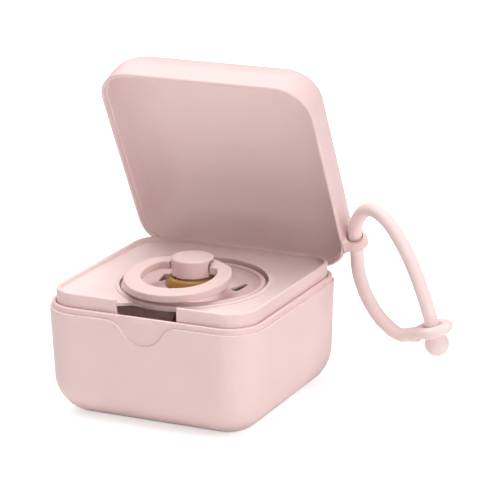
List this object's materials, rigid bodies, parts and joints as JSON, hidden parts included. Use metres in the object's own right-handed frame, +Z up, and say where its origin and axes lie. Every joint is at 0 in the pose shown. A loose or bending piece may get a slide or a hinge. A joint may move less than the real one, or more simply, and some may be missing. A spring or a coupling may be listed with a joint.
{
  "type": "pacifier sterilizer case",
  "caption": "Square pocket case with a hinged domed lid, a lift-out tray that seats a pacifier nipple down, and a silicone carrying strap on the lid's side eye.",
  "frame": {"origin": "middle of the flat underside, on the surface that the case stands on", "axes": "+Z up, -Y towards the front with the thumb scoop and the catch, +X to the right side with the strap's eye"},
  "size_m": [0.1225, 0.0932, 0.1122],
  "materials": {
    "case_plastic": "satin moulded",
    "pacifier_plastic": "satin moulded",
    "latex": "smooth translucent amber",
    "strap_silicone": "soft matte"
  },
  "bodies": {
    "base": {"base_shell": "case_plastic", "hinge_pin": "case_plastic"},
    "lid": {"lid_shell": "case_plastic"},
    "tray": {"inner_tray": "case_plastic"},
    "pacifier": {"pacifier_shield": "pacifier_plastic", "pacifier_nipple": "latex", "pacifier_knob": "pacifier_plastic"},
    "ring": {"pacifier_ring": "pacifier_plastic"},
    "strap": {"strap_cord": "strap_silicone", "strap_eye_ring": "strap_silicone", "strap_ball": "strap_silicone"}
  },
  "joints": [
    {"name": "lid_hinge", "type": "hinge", "parent": "base", "child": "lid", "pos_m": [0, 0.0403, 0.0363], "axis": [-1, 0, 0], "range_deg": [-63.5, 36.5]},
    {"name": "strap_swing", "type": "hinge", "parent": "lid", "child": "strap", "pos_m": [0.0424, 0.03947, 0.0494], "axis": [0, -0.4462, 0.8949], "range_deg": [-20, 45]},
    {"name": "tray_lift", "type": "slide", "parent": "base", "child": "tray", "axis": [0, 0, 1], "range_m": [0, 0.02]},
    {"name": "pacifier_lift", "type": "slide", "parent": "tray", "child": "pacifier", "axis": [0, 0, 1], "range_m": [0, 0.025]},
    {"name": "ring_pivot", "type": "hinge", "parent": "pacifier", "child": "ring", "pos_m": [0, 0.0002, 0.0472], "axis": [-1, 0, 0], "range_deg": [0, 85]}
  ]
}
